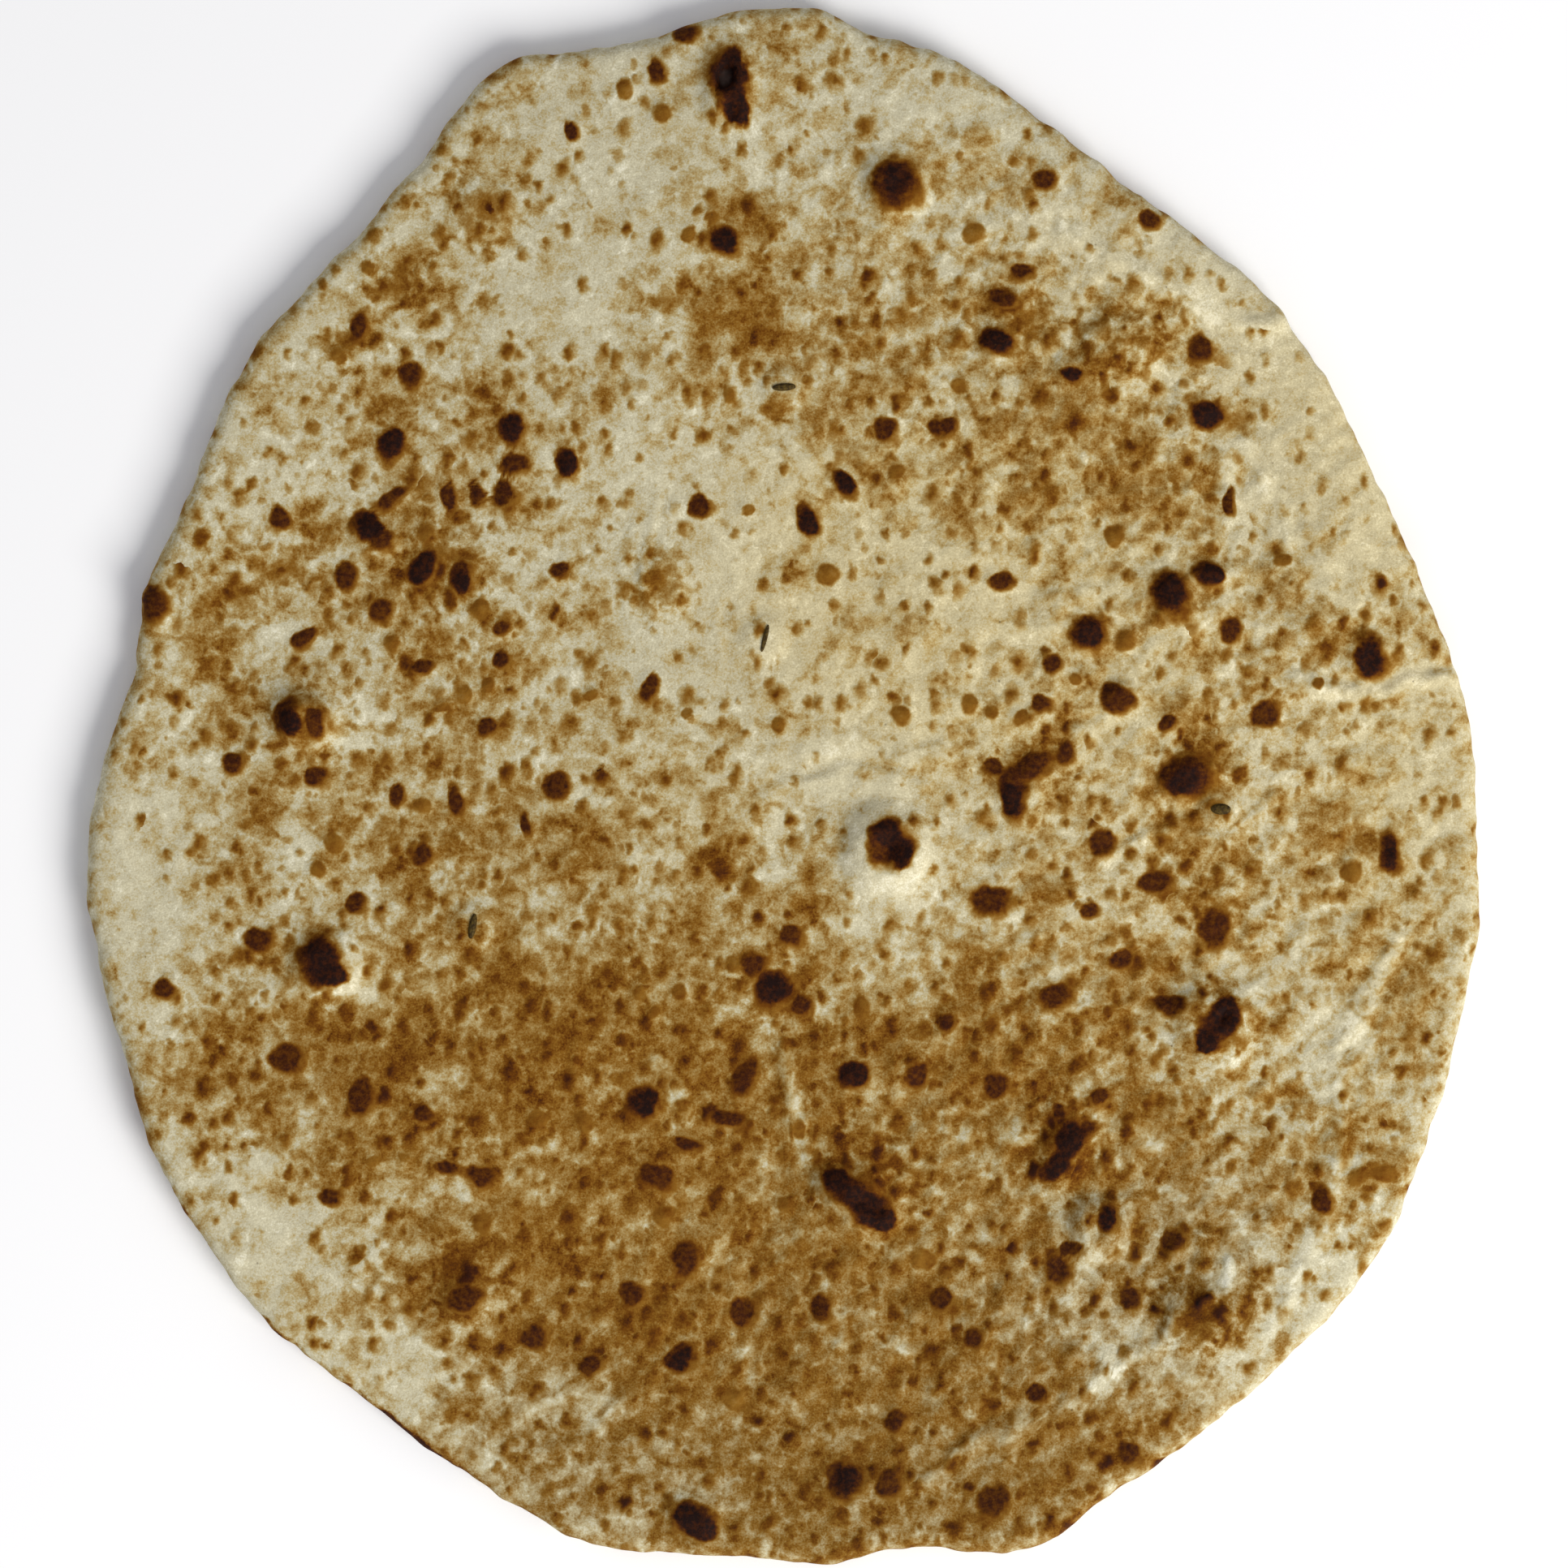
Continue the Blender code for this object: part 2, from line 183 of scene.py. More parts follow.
# How far regions are toasted: x, y, half-widths, amount (less than 0 is pale) and,
# where it is turned, the turn.
REGIONS = [
    (-2, -88, 60, 50, 0.55), (-54, -48, 46, 18, 0.5, -6), (48, -42, 32, 22, 0.25),
    (25, -62, 35, 18, 0.1), (-66, -8, 30, 22, 0.22), (-63, 42, 17, 22, 0.42, -20),
    (-104, 30, 12, 26, 0.32), (-62, 66, 20, 14, 0.2, -20), (-72, 88, 10, 12, 0.22, -45),
    (-60, 106, 8, 10, 0.15, -40), (-10, 128, 18, 10, 0.2), (20, 106, 22, 10, 0.12),
    (-10, 104, 10, 16, 0.2), (-4, 82, 22, 9, 0.42), (44, 78, 22, 12, 0.16, -20),
    (42, 66, 40, 14, 0.22, -10), (66, 54, 16, 20, 0.3), (74, 34, 10, 10, 0.2), (84, 22, 18, 16, 0.18),
    (106, 24, 9, 12, 0.2), (44, 2, 14, 14, 0.25), (72, 4, 16, 12, 0.08), (76, -20, 24, 16, 0.25),
    (108, -14, 8, 12, 0.12), (-58, 12, 22, 18, 0.26), (-25, -14, 34, 18, 0.22),
    (-18, -36, 42, 12, 0.16), (-102, -58, 16, 20, 0.22), (-48, -86, 26, 16, 0.3),
    (22, -128, 52, 13, 0.55), (46, -106, 30, 15, 0.25), (98, -78, 16, 24, 0.28),
    (108, -36, 13, 22, 0.28), (74, -92, 14, 12, 0.22), (76, -62, 20, 20, 0.12), (62, -116, 12, 8, 0.25),
    (-114, -14, 14, 34, -0.2), (-92, -80, 16, 14, -0.32, -45), (-66, -104, 12, 8, -0.32, -40),
    (-36, 100, 20, 34, -0.25, -8), (-12, 52, 14, 10, -0.28), (-6, 30, 20, 16, -0.22),
    (8, 2, 18, 12, -0.18), (18, -22, 12, 12, -0.4), (36, 36, 22, 14, -0.15),
    (94, 56, 14, 26, -0.32, 10), (88, 76, 14, 12, -0.25, -40), (113, -2, 12, 34, -0.2),
    (100, -42, 12, 20, -0.22), (92, -92, 11, 18, -0.42, -40), (58, -104, 14, 7, -0.3, 40),
    (24, 122, 16, 8, -0.25, -20), (66, 96, 16, 8, -0.15, -35), (-40, -113, 14, 7, -0.25, -30),
    (35, -40, 18, 18, 0.26), (-82, -54, 14, 16, 0.26), (18, -88, 60, 30, 0.15), (58, -64, 20, 18, 0.15),
    (100, -70, 14, 24, 0.16), (-35, -92, 18, 18, 0.1), (-36, -124, 12, 10, 0.2),
    (38, -126, 12, 10, 0.15), (-98, -36, 12, 12, 0.1), (12, 82, 12, 12, 0.16), (36, 58, 14, 12, 0.2),
    (72, 82, 18, 10, 0.16, -30), (82, -12, 12, 10, 0.15), (84, 24, 16, 14, 0.1),
    (-12, -22, 12, 14, 0.12), (-58, -106, 10, 10, 0.12), (20, -14, 10, 10, 0.1),
]
TOAST_BASE = 0.36

# The larger spots have a darker core of their own, set this many mm towards the upper left as painted
# shade on the side away from the light.
CORE_SHADE_SHIFT = 0.3
CORE_SPOTS = [spot for spot in SPOTS if max(spot[2], spot[3]) > 3.5]

# Where the toast is in separate dots on paler dough.
DOTTED = [
    (-62, 36, 34, 42, 0.9), (-66, -8, 34, 22, 0.8), (-40, 104, 40, 22, 0.1, -30), (20, 30, 30, 24, 0.5),
    (90, 80, 30, 40, 0.4, 40),
]

# Where the toast is yellower, or greyer if less than 0.
WARM = [
    (22, 42, 36, 28, 1), (112, 0, 16, 50, 0.8), (-20, -4, 22, 16, 0.5), (60, 88, 40, 14, 0.4, -30),
    (60, 10, 40, 40, 0.4), (100, 60, 14, 30, 0.5, 10), (100, -80, 16, 30, 0.4), (66, 60, 44, 40, 0.35),
    (60, -20, 50, 40, 0.3), (36, 26, 30, 18, 0.8), (0, -130, 70, 20, -1), (75, -88, 34, 26, -0.9),
    (-50, -105, 30, 20, -0.5, -35), (20, -95, 40, 20, -0.4), (-60, 50, 24, 20, -0.3),
    (-58, -38, 30, 12, 0.5),
]

# Small low bubbles, scattered at random where the crust is hilly.
BUBBLE_COUNT = 210
BUBBLE_SEED = 11

# Where the crust is hilly, with pale ridges, as the regions are given.
HILLY = [
    (70, 10, 62, 85, 0.9), (55, -80, 60, 40, 0.9, 20), (0, -100, 45, 35, 0.5),
    (40, 90, 50, 30, 0.6, -30), (-80, -100, 40, 20, 0.3, -40),
]

# Creases and folds: points along it, width, and height of the ridge beside it.
CREASES = [
    ([(52, 99), (66, 91), (79, 84), (93, 82)], 2.2, 0.9),
    ([(-119, -8), (-110, -24), (-97, -39)], 1.2, 0.4), ([(-112, -4), (-106, -18), (-98, -30)], 1, 0.3),
    ([(92, 20), (104, 17), (116, 20)], 2, 0.8), ([(110, -30), (105, -38), (101, -47)], 2.4, 0.7),
    ([(102, -50), (99, -66), (97, -82), (88, -98)], 2, 0.6),
    ([(24, -122), (40, -114), (53, -107), (66, -97), (78, -86)], 2.2, 0.8),
    ([(0, -47), (2, -58), (3, -69)], 1.6, 0.6), ([(-22, 50), (-25, 38), (-21, 26), (-12, 20)], 1.4, 0.35),
    ([(-12, 48), (-9, 36), (-11, 24)], 1.2, 0.3), ([(-5, -1), (4, 2), (14, 4), (24, 1)], 1.6, 0.5),
    ([(40, -92), (50, -100), (62, -101)], 1.8, 0.6), ([(-8, -88), (-6, -100), (-9, -110)], 1.4, 0.4),
    ([(84, 60), (90, 48), (92, 36)], 1.8, 0.6), ([(56, -12), (66, -8), (74, -9), (84, -4)], 1.6, 0.6),
    ([(-44, -118), (-34, -114), (-26, -108)], 1.4, 0.5),
]

# Pale floury strokes: points along one, width and strength.
STROKES = [
    ([(52, 99), (62, 93), (72, 88), (81, 83.5), (90, 82)], 2.6, 1),
    ([(54, 104), (66, 97), (80, 88)], 5, 0.5), ([(78, 61.5), (79.5, 57), (78.5, 53)], 3.4, 1),
    ([(78.5, 53), (81.5, 50), (82.5, 45), (80, 41)], 1.6, 0.9),
    ([(79.5, 37), (79.5, 33), (76, 30), (72.5, 27.5)], 2.6, 1),
    ([(49, 32), (50, 35), (57, 33.5), (60.5, 28)], 2.2, 0.7), ([(46, 23), (49, 28), (52, 30)], 1.6, 0.6),
    ([(98, 16), (106, 16), (112, 19), (119, 18)], 3.2, 0.9),
    ([(89, 52), (91, 44), (96, 41), (98, 36)], 1.6, 0.7), ([(84, 70), (87, 62), (86, 55)], 2.4, 0.5),
    ([(88, 35), (92, 30), (97, 28)], 1.6, 0.5), ([(62, 8), (66, 11), (62, 20), (66, 25)], 1.6, 0.7),
    ([(52, 9), (56, 12), (55, 19)], 1.4, 0.6), ([(70, -7), (75, -6), (77, -2), (76, 3)], 2, 0.8),
    ([(38, 76), (41, 75.5), (43, 78)], 1.6, 0.8), ([(49, 75.5), (54, 75), (57, 73.5)], 1.2, 0.7),
    ([(24, 103), (25, 108), (23, 112), (17, 113)], 1.6, 0.6), ([(26, 92), (33, 95), (38, 100)], 1.6, 0.6),
    ([(0, 52), (6, 59), (14, 58)], 3, 0.6), ([(20, 44), (28, 41), (34, 42)], 3, 0.6),
    ([(-20, 49), (-14, 47), (-9, 42), (-8, 35)], 2, 0.7),
    ([(-27, 46), (-29, 38), (-27, 28), (-21, 23)], 1.8, 0.6),
    ([(-16, 34), (-13, 28), (-8, 25)], 1.6, 0.5), ([(4, 6), (14, 7), (22, 5), (28, 6)], 3.4, 0.8),
    ([(4, -1), (12, 0), (20, -1)], 2.4, 0.7),
    ([(14, -8), (12, -14), (15, -18), (22, -18), (25, -12)], 3.4, 1),
    ([(-78, -27), (-76, -32), (-78, -36.5), (-84, -37)], 2.6, 1),
    ([(-88, -36), (-90, -39), (-95, -38)], 4.4, 0.7), ([(-22.5, -50), (-20, -53.5), (-18, -58)], 3, 1),
    ([(-37, -46), (-37.5, -51), (-36.5, -56)], 1.6, 0.7),
    ([(0.5, -49), (2, -57), (3.5, -66), (7.5, -73), (13, -78)], 2.6, 1),
    ([(20, -72), (23, -69), (26, -70)], 1.8, 0.7), ([(-58, -70.5), (-56.5, -73.5), (-55, -76)], 1.8, 0.9),
    ([(-77, -86), (-73, -84), (-71, -88), (-74, -91), (-77, -89)], 1.4, 0.9),
    ([(-92, -66), (-98, -72), (-90, -80)], 4, 0.7), ([(-70, -92), (-66, -98), (-58, -104)], 2.6, 0.6),
    ([(82, -40), (82, -46), (78, -50)], 2.6, 1), ([(62, -76), (60, -83), (54, -85.5)], 2.4, 1),
    ([(110, -28), (108, -33), (104, -38), (103, -44), (99, -48)], 2.4, 0.9),
    ([(109, -38), (106, -45), (103, -47)], 1.4, 0.6),
    ([(100, -54), (99, -66), (97, -80), (89, -95)], 2.4, 0.7),
    ([(84, -86), (92, -88), (94, -80)], 2, 0.7),
    ([(24, -122), (40, -114), (53, -107), (66, -97)], 2, 0.6),
    ([(20, -93), (26, -96.5), (33, -95.5)], 2.2, 0.9), ([(56, -70), (57, -63), (55, -58)], 1.8, 0.8),
    ([(86, -8), (92, -12), (91, -20)], 2, 0.7), ([(60, -4), (64, -10), (60, -16)], 1.6, 0.6),
    ([(34, -28), (40, -30), (46, -27)], 1.8, 0.6), ([(-104, -6), (-110, -18), (-104, -30)], 2, 0.4),
    ([(-46, -112), (-36, -108), (-28, -112)], 2, 0.7),
]

# How far the crust is baked, from floury to charred, and its displayed colour there.
BAKE_COLORS = [
    (0.00, (230, 225, 200)), (0.10, (209, 201, 169)), (0.20, (194, 186, 156)), (0.30, (184, 168, 124)),
    (0.40, (171, 147, 96)), (0.52, (153, 120, 62)), (0.66, (131, 89, 24)), (0.80, (102, 57, 2)),
    (0.92, (61, 24, 1)), (1.00, (26, 7, 3)),
]
HOLE_GREY = (104, 86, 78)
FLECK = (74, 52, 24)
SEED_HUSK = (84, 66, 22)
SEED_RIB = (48, 34, 10)
WARM_TINT = (1.05, 0.985, 0.84)
GREY_TINT = (0.94, 1.03, 1.33)
FLOOR = (255, 255, 255)


def linear(color, alpha=1.0):
    """Turn a displayed colour, 0 to 255, into the linear one that shaders take."""
    parts = []
    for part in color:
        part /= 255.0
        parts.append(part / 12.92 if part <= 0.04045 else ((part + 0.055) / 1.055) ** 2.4)
    return (*parts, alpha)


# ---------------- fields over x, y


def smooth_step(t):
    """Rise smoothly from 0 to 1 as t goes from 0 to 1."""
    t = np.clip(t, 0.0, 1.0)
    return t * t * (3.0 - 2.0 * t)


def smooth_noise(x, y, cell, seed):
    """Seeded gradient noise from about -1 to 1, with features about a cell across."""
    count = int(2.0 * HEIGHT_REACH / cell) + 3
    angle = np.random.default_rng(seed).uniform(0.0, math.tau, (count, count))
    u = (x + HEIGHT_REACH) / cell
    v = (y + HEIGHT_REACH) / cell
    i = np.clip(u.astype(int), 0, count - 2)
    j = np.clip(v.astype(int), 0, count - 2)
    u = u - i
    v = v - j
    fade_u = smooth_step(u)
    fade_v = smooth_step(v)

    def corner(di, dj):
        turn = angle[i + di, j + dj]
        return np.cos(turn) * (u - di) + np.sin(turn) * (v - dj)

    low = corner(0, 0) * (1.0 - fade_u) + corner(1, 0) * fade_u
    high = corner(0, 1) * (1.0 - fade_u) + corner(1, 1) * fade_u
    return 1.5 * (low * (1.0 - fade_v) + high * fade_v)


def layered_noise(x, y, cell, seed, layers=3):
    """Add finer and weaker noise to noise, layer by layer."""
    total = np.zeros_like(x)
    for layer in range(layers):
        total += smooth_noise(x, y, cell / 2.1 ** layer, seed + layer) * 0.5 ** layer
    return total


def ellipse_distance(x, y, center_x, center_y, width, length, degrees=0.0):
    """Return 0 at an ellipse's centre and 1 on its outline."""
    turn = math.radians(degrees)
    across = (x - center_x) * math.cos(turn) + (y - center_y) * math.sin(turn)
    along = (y - center_y) * math.cos(turn) - (x - center_x) * math.sin(turn)
    return np.hypot(across / (0.5 * width), along / (0.5 * length))


def spot_field(x, y, spots):
    """Return 1 at the middle of the nearest spot, 0.5 on its outline, 0 a radius out."""
    field = np.zeros_like(x)
    for spot in spots:
        field = np.maximum(field, 1.0 - 0.5 * ellipse_distance(x, y, *spot))
    return field


def region_field(x, y, regions):
    """Add up soft regions, each a bell with its own half-widths and amount."""
    field = np.zeros_like(x)
    for center_x, center_y, half_width, half_length, amount, *turn in regions:
        distance = ellipse_distance(
            x, y, center_x, center_y, 2.0 * half_width, 2.0 * half_length, *turn)
        field += amount * np.exp(-distance * distance)
    return field


def crease_offset(x, y, points):
    """Return the distance to a line of points, and on which side of it a place lies."""
    nearest = np.full_like(x, 1e9)
    side = np.zeros_like(x)
    for (x0, y0), (x1, y1) in zip(points, points[1:]):
        run_x, run_y = x1 - x0, y1 - y0
        length = math.hypot(run_x, run_y)
        along = ((x - x0) * run_x + (y - y0) * run_y) / length ** 2
        along = np.clip(along, 0.0, 1.0)
        distance = np.hypot(x - x0 - along * run_x, y - y0 - along * run_y)
        across = ((x - x0) * run_y - (y - y0) * run_x) / length
        closer = distance < nearest
        nearest = np.where(closer, distance, nearest)
        side = np.where(closer, np.sign(across), side)
    return nearest, side


# ---------------- the CAD node's shape


def node_tree(node):
    """Return a CAD node's triangles as a search tree, in metres."""
    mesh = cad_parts[node].data
    points = [vertex.co for vertex in mesh.vertices]
    faces = [tuple(face.vertices) for face in mesh.polygons]
    return BVHTree.FromPolygons(points, faces)


def edge_reach(tree):
    """Return how far the bread reaches, in mm, at OUTLINE_STEPS even angles."""
    levels = np.arange(2.6, 5.0, 0.3) * MM
    reach = np.zeros(OUTLINE_STEPS)
    for step in range(OUTLINE_STEPS):
        angle = math.tau * step / OUTLINE_STEPS
        outward = Vector((math.cos(angle), math.sin(angle), 0.0))
        for level in levels:
            start = outward * 0.2 + Vector((0.0, 0.0, level))
            hit = tree.ray_cast(start, -outward)[0]
            if hit is not None:
                reach[step] = max(reach[step], math.hypot(hit.x, hit.y) / MM)
    weights = (0.25, 0.5, 0.25)
    for _ in range(2):
        reach = sum(w * np.roll(reach, s - 1) for s, w in enumerate(weights))
    return reach


def reach_at(reach, angle):
    """Read the outline at any angles."""
    steps = np.arange(OUTLINE_STEPS) * math.tau / OUTLINE_STEPS
    return np.interp(angle % math.tau, steps, reach, period=math.tau)


def blurred(grid, sigma):
    """Blur a square grid with a bell of sigma cells, keeping its borders."""
    width = int(3.0 * sigma) + 1
    offsets = np.arange(-width, width + 1)
    weights = np.exp(-0.5 * (offsets / sigma) ** 2)
    weights /= weights.sum()
    for axis in (0, 1):
        padding = [(0, 0), (0, 0)]
        padding[axis] = (width, width)
        padded = np.pad(grid, padding, mode="edge")
        size = grid.shape[axis]
        grid = sum(
            weight * np.take(padded, np.arange(shift, shift + size), axis=axis)
            for shift, weight in enumerate(weights))
    return grid


def dough_levels(tree, reach):
    """Return smooth grids of the dough's top and underside, in mm.

    Outside the core, a place takes the height of the core's nearest point along its
    spoke, so that the rounding of the CAD edge stays out of both grids.
    """
    line = np.arange(-HEIGHT_REACH, HEIGHT_REACH + HEIGHT_STEP, HEIGHT_STEP)
    x, y = np.meshgrid(line, line, indexing="ij")
    core = reach_at(reach, np.arctan2(y, x)) - CORE_INSET
    pull = np.minimum(1.0, core / np.maximum(np.hypot(x, y), 1e-6))
    top = np.zeros_like(x)
    under = np.zeros_like(x)
    down = Vector((0.0, 0.0, -1.0))
    for place in np.ndindex(x.shape):
        spot = Vector((x[place] * pull[place], y[place] * pull[place], 0.0)) * MM
        top[place] = tree.ray_cast(spot + Vector((0.0, 0.0, 0.1)), down)[0].z / MM
        under[place] = tree.ray_cast(spot - Vector((0.0, 0.0, 0.1)), -down)[0].z / MM
    sigma = HEIGHT_BLUR / HEIGHT_STEP
    return blurred(top, sigma), blurred(under, sigma)


def read_grid(grid, x, y):
    """Read a height grid between its points."""
    u = (x + HEIGHT_REACH) / HEIGHT_STEP
    v = (y + HEIGHT_REACH) / HEIGHT_STEP
    i = np.clip(u.astype(int), 0, grid.shape[0] - 2)
    j = np.clip(v.astype(int), 0, grid.shape[1] - 2)
    u = u - i
    v = v - j
    low = grid[i, j] * (1.0 - u) + grid[i + 1, j] * u
    high = grid[i, j + 1] * (1.0 - u) + grid[i + 1, j + 1] * u
    return low * (1.0 - v) + high * v


# ---------------- relief and colour


def ridge_field(x, y):
    """Return the network of thin ridges on the hilly parts, from 0 to 1."""
    shift_x = x + 3.0 * smooth_noise(x, y, 11.0, 40)
    shift_y = y + 3.0 * smooth_noise(x, y, 11.0, 41)
    wide = 1.0 - np.abs(smooth_noise(shift_x, shift_y, 17.0, 42)) * 6.0
    fine = 1.0 - np.abs(smooth_noise(shift_x, shift_y, 8.5, 43)) * 4.5
    broken = np.clip(0.6 + 1.2 * smooth_noise(x, y, 7.0, 44), 0.0, 1.0)
    network = np.maximum(np.clip(wide, 0.0, 1.0), 0.8 * np.clip(fine, 0.0, 1.0))
    return network * broken * hilly_field(x, y)


def hilly_field(x, y):
    """Return how hilly a place is, from 0 to 1."""
    return np.clip(region_field(x, y, HILLY), 0.0, 1.0)


def crease_fields(x, y):
    """Return the creases' relief in mm, and how far a place is on a crest, painted paler: partly paler
    dough, partly painted highlight.
    """
    relief = np.zeros_like(x)
    crest_pale_and_highlight = np.zeros_like(x)
    for number, (points, width, height) in enumerate(CREASES):
        wander = 1.6 * layered_noise(x, y, 9.0, 60 + 3 * number)
        distance, side = crease_offset(x + wander, y - wander, points)
        across = distance * side / (0.75 * width)
        ridge = np.exp(-((across - 0.9) / 0.9) ** 2)
        groove = np.exp(-((across + 0.6) / 0.6) ** 2)
        relief += 0.55 * height * (ridge - 0.6 * groove)
        crest_pale_and_highlight = np.maximum(crest_pale_and_highlight, ridge * min(1.0, height))
    return relief, crest_pale_and_highlight


def stroke_field(x, y):
    """Return how floury the pale strokes make a place, from 0 to 1."""
    paleness = np.zeros_like(x)
    for number, (points, width, strength) in enumerate(STROKES):
        wander = 0.7 * layered_noise(x, y, 7.0, 200 + number, layers=2)
        distance = crease_offset(x + wander, y - wander, points)[0]
        paleness = np.maximum(paleness, strength * smooth_step(1.3 - 1.3 * distance / width))
    return paleness


def blister_relief(x, y):
    """Return the relief of the blisters and of the holes torn in them, in mm."""
    relief = np.zeros_like(x)
    for *blister, rise, sink in BLISTERS:
        distance = ellipse_distance(x, y, *blister) + 0.10 * smooth_noise(x, y, 4.0, 21)
        relief += 1.15 * rise * smooth_step(1.6 * (1.0 - distance))
        relief -= sink * smooth_step(1.0 - 2.0 * distance)
    for *hole, depth in HOLES:
        distance = ellipse_distance(x, y, *hole) + 0.22 * smooth_noise(x, y, 2.4, 22)
        relief -= depth * smooth_step(2.2 * (1.0 - distance))
        relief += 0.25 * np.exp(-((distance - 1.25) / 0.25) ** 2)
    return relief


def bubble_places():
    """Scatter bubbles: x, y, width, length, turn and rise, lower where it is smooth."""
    rng = np.random.default_rng(BUBBLE_SEED)
    bubbles = []
    while len(bubbles) < BUBBLE_COUNT:
        x = rng.uniform(-122.0, 122.0)
        y = rng.uniform(-137.0, 137.0)
        hilly = float(hilly_field(np.array([x]), np.array([y]))[0])
        width = rng.uniform(4.5, 11.0)
        stretch = rng.uniform(0.75, 1.3)
        turn = rng.uniform(0.0, 180.0)
        rise = rng.uniform(0.15, 0.50) * (0.35 + 0.65 * hilly)
        if rng.uniform() < 0.25 + 0.75 * hilly:
            bubbles.append((x, y, width, width * stretch, turn, rise))
    return bubbles


def bubble_relief(x, y):
    """Return the relief of the scattered bubbles, in mm."""
    relief = np.zeros_like(x)
    for *bubble, rise in bubble_places():
        distance = ellipse_distance(x, y, *bubble)
        relief = np.maximum(relief, rise * smooth_step(1.6 * (1.0 - distance)))
    return relief


def spot_relief(x, y):
    """Return the low bubbles that the char and the brown spots sit on, in mm."""
    spots = spot_field(x, y, SPOTS)
    char = spot_field(x, y, CHAR)
    return 0.45 * smooth_step(1.6 * spots - 0.3) + 0.20 * smooth_step(1.5 * char - 0.4)


def crust_relief(x, y):
    """Return everything that the top crust adds to the plain dough, in mm."""
    hilly = hilly_field(x, y)
    relief = (0.20 + 0.30 * hilly) * layered_noise(x, y, 17.0, 1, layers=2)
    relief += (0.06 + 0.10 * hilly) * layered_noise(x, y, 6.5, 5, layers=2)
    relief += 0.35 * ridge_field(x, y) + 0.30 * stroke_field(x, y)
    relief += crease_fields(x, y)[0] + blister_relief(x, y)
    return relief + (spot_relief(x, y) + bubble_relief(x, y))


def under_relief(x, y):
    """Return the relief of the baked underside, in mm, which never goes below 0."""
    dimple = np.clip(layered_noise(x, y, 11.0, 30) - 0.25, 0.0, 1.0)
    return 0.45 * dimple + 0.10 * np.clip(smooth_noise(x, y, 3.0, 35), 0.0, 1.0)


def top_fields(x, y):
    """Return the attributes that colour the top crust."""
    crests_pale_and_highlight = ridge_field(x, y) + crease_fields(x, y)[1]
    bent_x = x + 0.9 * smooth_noise(x, y, 4.5, 301)
    bent_y = y + 0.9 * smooth_noise(x, y, 4.5, 302)
    toast = TOAST_BASE + region_field(x, y, REGIONS)
    toast += 0.22 * layered_noise(x, y, 15.0, 80, layers=2)
    toast += 0.12 * smooth_noise(x, y, 6.0, 84)
    return {
        "toast": toast,
        # Crests are painted paler, partly as paler dough and partly as painted highlight.
        "pale": np.clip(0.6 * crests_pale_and_highlight, 0.0, 1.0),
        "flour": stroke_field(x, y),
        "hilly": hilly_field(x, y),
        "dotted": np.clip(region_field(x, y, DOTTED), 0.0, 1.0),
        "warm": np.clip(region_field(x, y, WARM), -1.0, 1.0),
        "bubble": spot_field(x, y, [bubble[:5] for bubble in bubble_places()]),
        "patch": spot_field(bent_x, bent_y, PATCHES),
        "spot": spot_field(bent_x, bent_y, SPOTS),
        # The cores are shifted towards the upper left: painted shade.
        "core": spot_field(bent_x + CORE_SHADE_SHIFT, bent_y - CORE_SHADE_SHIFT, CORE_SPOTS),
        "char": spot_field(bent_x, bent_y, CHAR),
        "hole_grey": spot_field(x, y, HOLE_GREY_PLACES),
    }


def under_fields(x, y):
    """Return the attributes that colour the underside: even, with random spots."""
    rng = np.random.default_rng(7)
    spots = []
    for _ in range(70):
        angle = rng.uniform(0.0, math.tau)
        away = 118.0 * math.sqrt(rng.uniform())
        size = rng.uniform(3.0, 8.0)
        spots.append((
            away * math.cos(angle), 1.1 * away * math.sin(angle),
            size, size * rng.uniform(0.8, 1.5), rng.uniform(0.0, 180.0)))
    return {
        "toast": 0.42 + 0.22 * layered_noise(x, y, 30.0, 90),
        "pale": np.clip(0.6 * layered_noise(x, y, 20.0, 95), 0.0, 0.5),
        "flour": np.zeros_like(x),
        "hilly": np.full_like(x, 0.2),
        "dotted": np.full_like(x, 0.3),
        "warm": np.full_like(x, 0.4),
        "bubble": np.full_like(x, 0.3),
        "patch": spot_field(x, y, spots[:24]) * 0.9,
        "spot": spot_field(x, y, spots[24:]),
        "core": spot_field(x, y, spots[50:]),
        "char": spot_field(x, y, spots[60:]) * 0.8,
        "hole_grey": np.zeros_like(x),
    }


def scorch_field(angle):
    """Return how black the edge is, which is so along the lower left."""
    degrees = np.degrees(angle) % 360.0
    long_scorch = 0.85 * np.exp(-((degrees - 240.0) / 7.5) ** 2)
    short_scorch = 0.62 * np.exp(-((degrees - 227.0) / 3.4) ** 2)
    dot = 0.55 * np.exp(-((degrees - 215.5) / 1.4) ** 2)
    return np.clip(long_scorch + short_scorch + dot, 0.0, 1.0)


# ---------------- the crust's mesh


